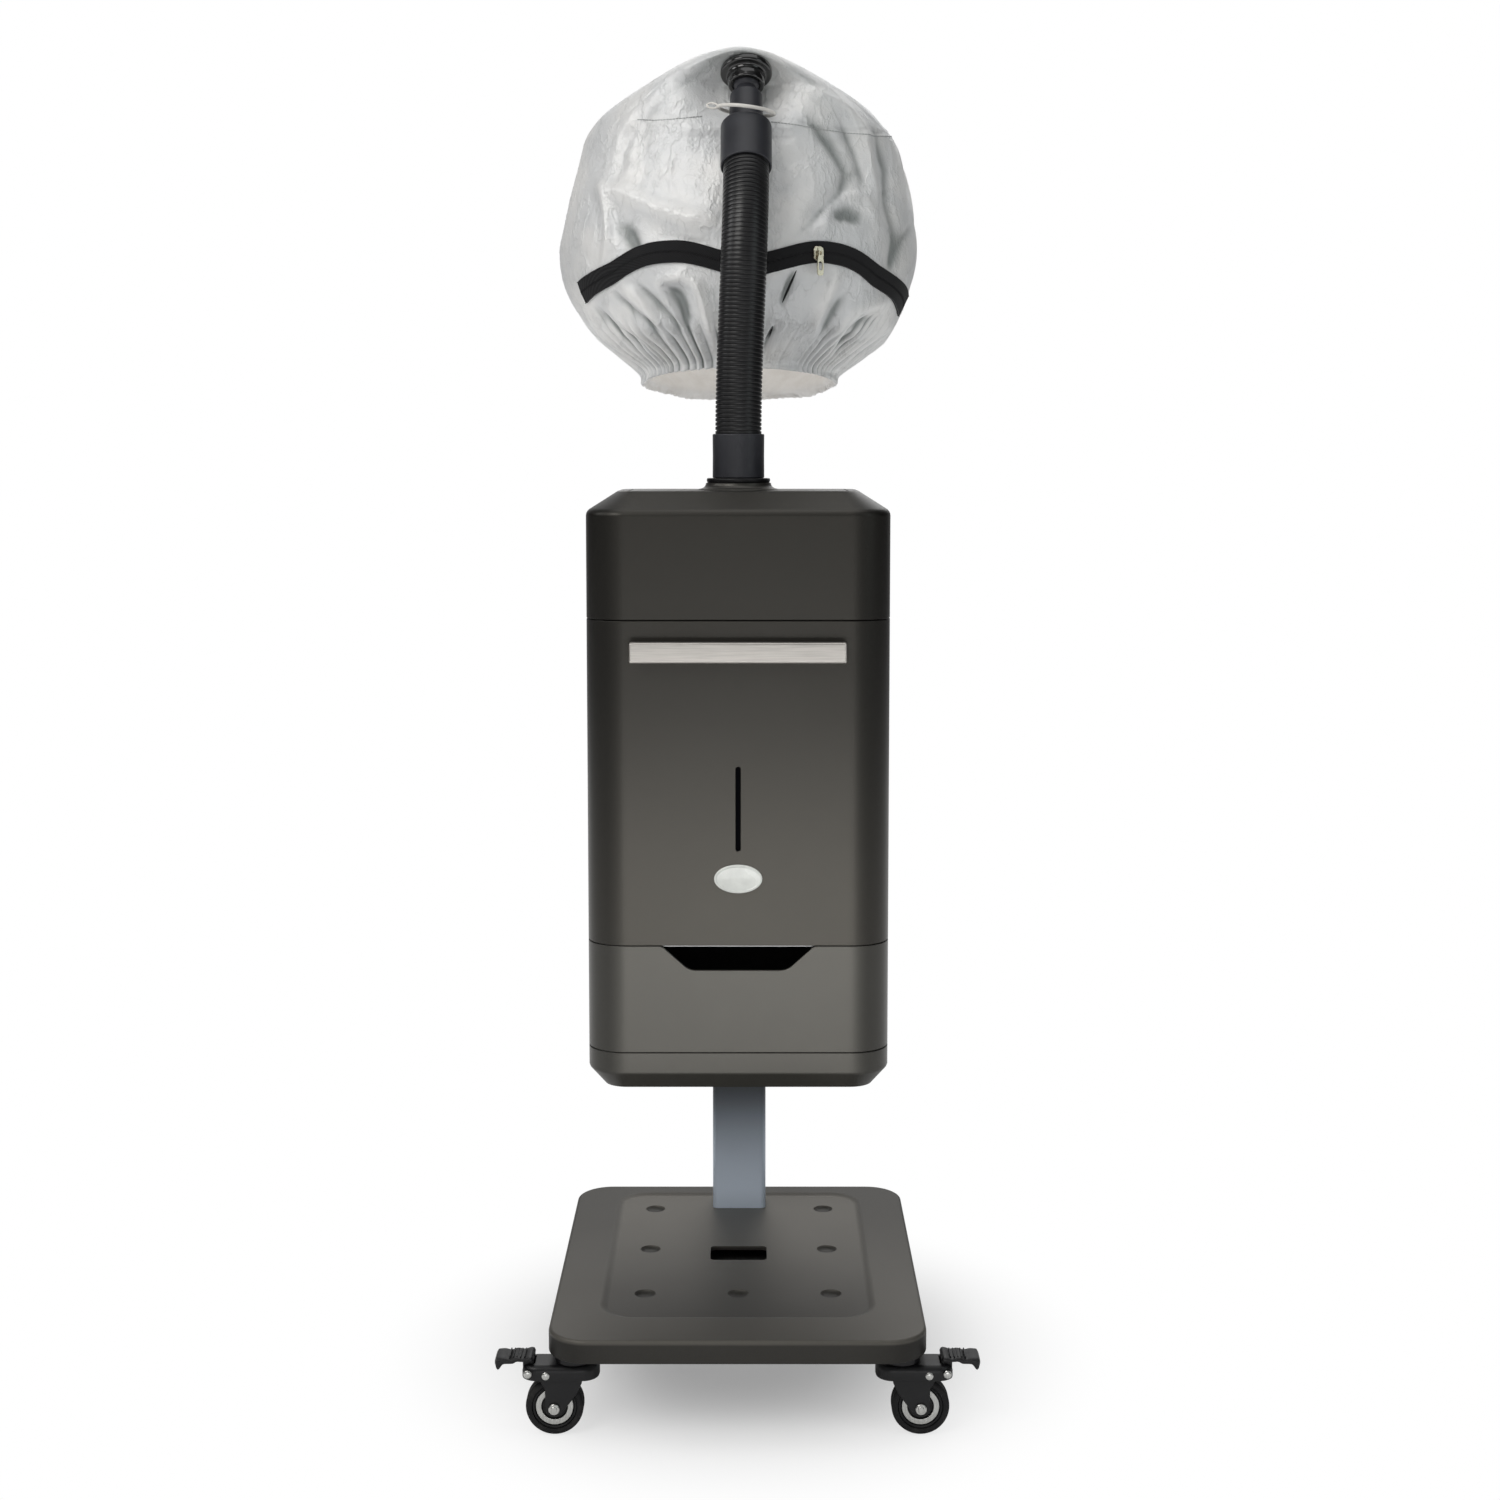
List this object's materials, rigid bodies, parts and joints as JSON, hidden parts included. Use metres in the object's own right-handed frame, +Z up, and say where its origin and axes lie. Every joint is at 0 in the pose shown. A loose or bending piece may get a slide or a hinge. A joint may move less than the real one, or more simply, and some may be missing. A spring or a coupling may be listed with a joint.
{
  "type": "hood hair dryer",
  "caption": "Wheeled salon hood dryer: gunmetal cabinet on a column, ribbed hose and a gathered silver cloth hood with a black zip",
  "frame": {"origin": "on the floor, at the middle of the whole part's bounding box seen from above", "axes": "+Z up; the machine's front looks along -Y and the hood hangs on the +Y side, behind the cabinet; +X is to the right seen from the front"},
  "size_m": [0.526, 0.7627, 1.55],
  "materials": {
    "gunmetal": "satin gunmetal paint on moulded covers",
    "gunmetal_light": "satin gunmetal paint, a little lighter towards the foot",
    "column_blue": "satin blue-grey coat on steel tube",
    "steel": "plain sheet steel",
    "zinc": "zinc plated",
    "black_plastic": "moulded black",
    "black_painted": "black coat on pressed steel",
    "gloss_black": "polished black",
    "cuff_blue_black": "satin blue-black",
    "tyre": "soft black tread",
    "satin_bar": "satin silver",
    "pale_plate": "bare pale oval plate",
    "window": "dark clear strip",
    "tank_clear": "translucent tank",
    "white_plastic": "plain white",
    "grey_plastic": "plain grey",
    "mica": "mica board",
    "board_green": "circuit board with parts",
    "copper_motor": "motor can",
    "silver_cloth": "silver coated cloth with a white lining",
    "zip_black": "black woven zip tape",
    "zip_brass": "pale brass",
    "ring_white": "whitish wire"
  },
  "bodies": {
    "stand": {"base_deck": "gunmetal", "chassis_plate": "steel", "column": "column_blue", "column_bolt": "zinc", "caster_plate_fl": "black_painted", "caster_plate_fr": "black_painted", "caster_plate_rl": "black_painted", "caster_plate_rr": "black_painted", "bottom_tray": "gunmetal_light", "back_shell": "gunmetal", "mid_shelf": "steel", "upper_shelf": "steel", "top_cover": "gunmetal", "top_panel": "gunmetal_light", "outlet_duct": "white_plastic", "heater_duct": "mica", "blower_housing": "grey_plastic", "blower_motor": "copper_motor", "control_board": "board_green", "rear_grille": "black_plastic", "power_inlet": "black_plastic", "hose_socket": "gunmetal"},
    "caster_fl": {"caster_fork_fl": "black_painted", "caster_axle_fl": "zinc"},
    "wheel_fl": {"caster_wheel_fl": "zinc", "caster_tyre_fl": "tyre"},
    "caster_fr": {"caster_fork_fr": "black_painted", "caster_axle_fr": "zinc"},
    "wheel_fr": {"caster_wheel_fr": "zinc", "caster_tyre_fr": "tyre"},
    "caster_rl": {"caster_fork_rl": "black_painted", "caster_axle_rl": "zinc"},
    "wheel_rl": {"caster_wheel_rl": "zinc", "caster_tyre_rl": "tyre"},
    "caster_rr": {"caster_fork_rr": "black_painted", "caster_axle_rr": "zinc"},
    "wheel_rr": {"caster_wheel_rr": "zinc", "caster_tyre_rr": "tyre"},
    "pedal_fl": {"brake_pedal_fl": "black_plastic"},
    "pedal_fr": {"brake_pedal_fr": "black_plastic"},
    "tank_drawer": {"tank_front": "gunmetal", "bar_handle": "satin_bar", "sight_window": "window", "badge": "pale_plate", "water_tank": "tank_clear"},
    "cap": {"tank_cap": "white_plastic"},
    "tool_drawer": {"drawer_front": "gunmetal_light", "drawer_box": "grey_plastic"},
    "hood_arm": {"lower_cuff": "cuff_blue_black", "hose": "black_plastic", "upper_cuff": "cuff_blue_black", "neck_tube": "cuff_blue_black", "neck_ring": "ring_white"},
    "hood": {"hood_flange": "gloss_black", "hood_shell": "silver_cloth", "zip_tape": "zip_black", "zip_slider": "zip_brass"},
    "pull": {"zip_pull": "zip_brass"},
    "fan": {"impeller": "black_plastic"},
    "rocker": {"rocker_switch": "black_plastic"}
  },
  "joints": [
    {"name": "caster_swivel_fl", "type": "hinge", "parent": "stand", "child": "caster_fl", "pos_m": [-0.178, -0.335, 0.0905], "axis": [0, 0, 1], "continuous": true},
    {"name": "wheel_spin_fl", "type": "hinge", "parent": "caster_fl", "child": "wheel_fl", "pos_m": [-0.199, -0.335, 0.0315], "axis": [0, 1, 0], "continuous": true},
    {"name": "caster_swivel_fr", "type": "hinge", "parent": "stand", "child": "caster_fr", "pos_m": [0.178, -0.335, 0.0905], "axis": [0, 0, 1], "continuous": true},
    {"name": "wheel_spin_fr", "type": "hinge", "parent": "caster_fr", "child": "wheel_fr", "pos_m": [0.199, -0.335, 0.0315], "axis": [0, 1, 0], "continuous": true},
    {"name": "caster_swivel_rl", "type": "hinge", "parent": "stand", "child": "caster_rl", "pos_m": [-0.178, 0.061, 0.0905], "axis": [0, 0, 1], "continuous": true},
    {"name": "wheel_spin_rl", "type": "hinge", "parent": "caster_rl", "child": "wheel_rl", "pos_m": [-0.178, 0.082, 0.0315], "axis": [1, 0, 0], "continuous": true},
    {"name": "caster_swivel_rr", "type": "hinge", "parent": "stand", "child": "caster_rr", "pos_m": [0.178, 0.061, 0.0905], "axis": [0, 0, 1], "continuous": true},
    {"name": "wheel_spin_rr", "type": "hinge", "parent": "caster_rr", "child": "wheel_rr", "pos_m": [0.178, 0.082, 0.0315], "axis": [1, 0, 0], "continuous": true},
    {"name": "pedal_tip_fl", "type": "hinge", "parent": "caster_fl", "child": "pedal_fl", "pos_m": [-0.227, -0.335, 0.0726], "axis": [0, -1, 0], "range_deg": [0, 10]},
    {"name": "pedal_tip_fr", "type": "hinge", "parent": "caster_fr", "child": "pedal_fr", "pos_m": [0.227, -0.335, 0.0726], "axis": [0, 1, 0], "range_deg": [0, 10]},
    {"name": "tank_slide", "type": "slide", "parent": "stand", "child": "tank_drawer", "axis": [0, -1, 0], "range_m": [0, 0.16]},
    {"name": "cap_lift", "type": "slide", "parent": "tank_drawer", "child": "cap", "axis": [0, 0, 1], "range_m": [0, 0.03]},
    {"name": "tool_drawer_slide", "type": "slide", "parent": "stand", "child": "tool_drawer", "axis": [0, -1, 0], "range_m": [0, 0.18]},
    {"name": "hose_swivel", "type": "hinge", "parent": "stand", "child": "hood_arm", "pos_m": [0, -0.0743, 1.035], "axis": [0, 0, 1], "continuous": true},
    {"name": "hood_tilt", "type": "hinge", "parent": "hood_arm", "child": "hood", "pos_m": [0.009, 0.0216, 1.5066], "axis": [1, 0, 0], "range_deg": [0, 12]},
    {"name": "pull_swing", "type": "hinge", "parent": "hood", "child": "pull", "pos_m": [0.0974, 0.0006, 1.3044], "axis": [-0.91, -0.4147, 0], "range_deg": [0, 80]},
    {"name": "fan_spin", "type": "hinge", "parent": "stand", "child": "fan", "pos_m": [-0.1176, -0.0743, 0.9016], "axis": [0, 0, 1], "continuous": true},
    {"name": "rocker_tip", "type": "hinge", "parent": "stand", "child": "rocker", "pos_m": [-0.104, 0.0317, 0.59], "axis": [1, 0, 0], "range_deg": [-7, 7]}
  ]
}
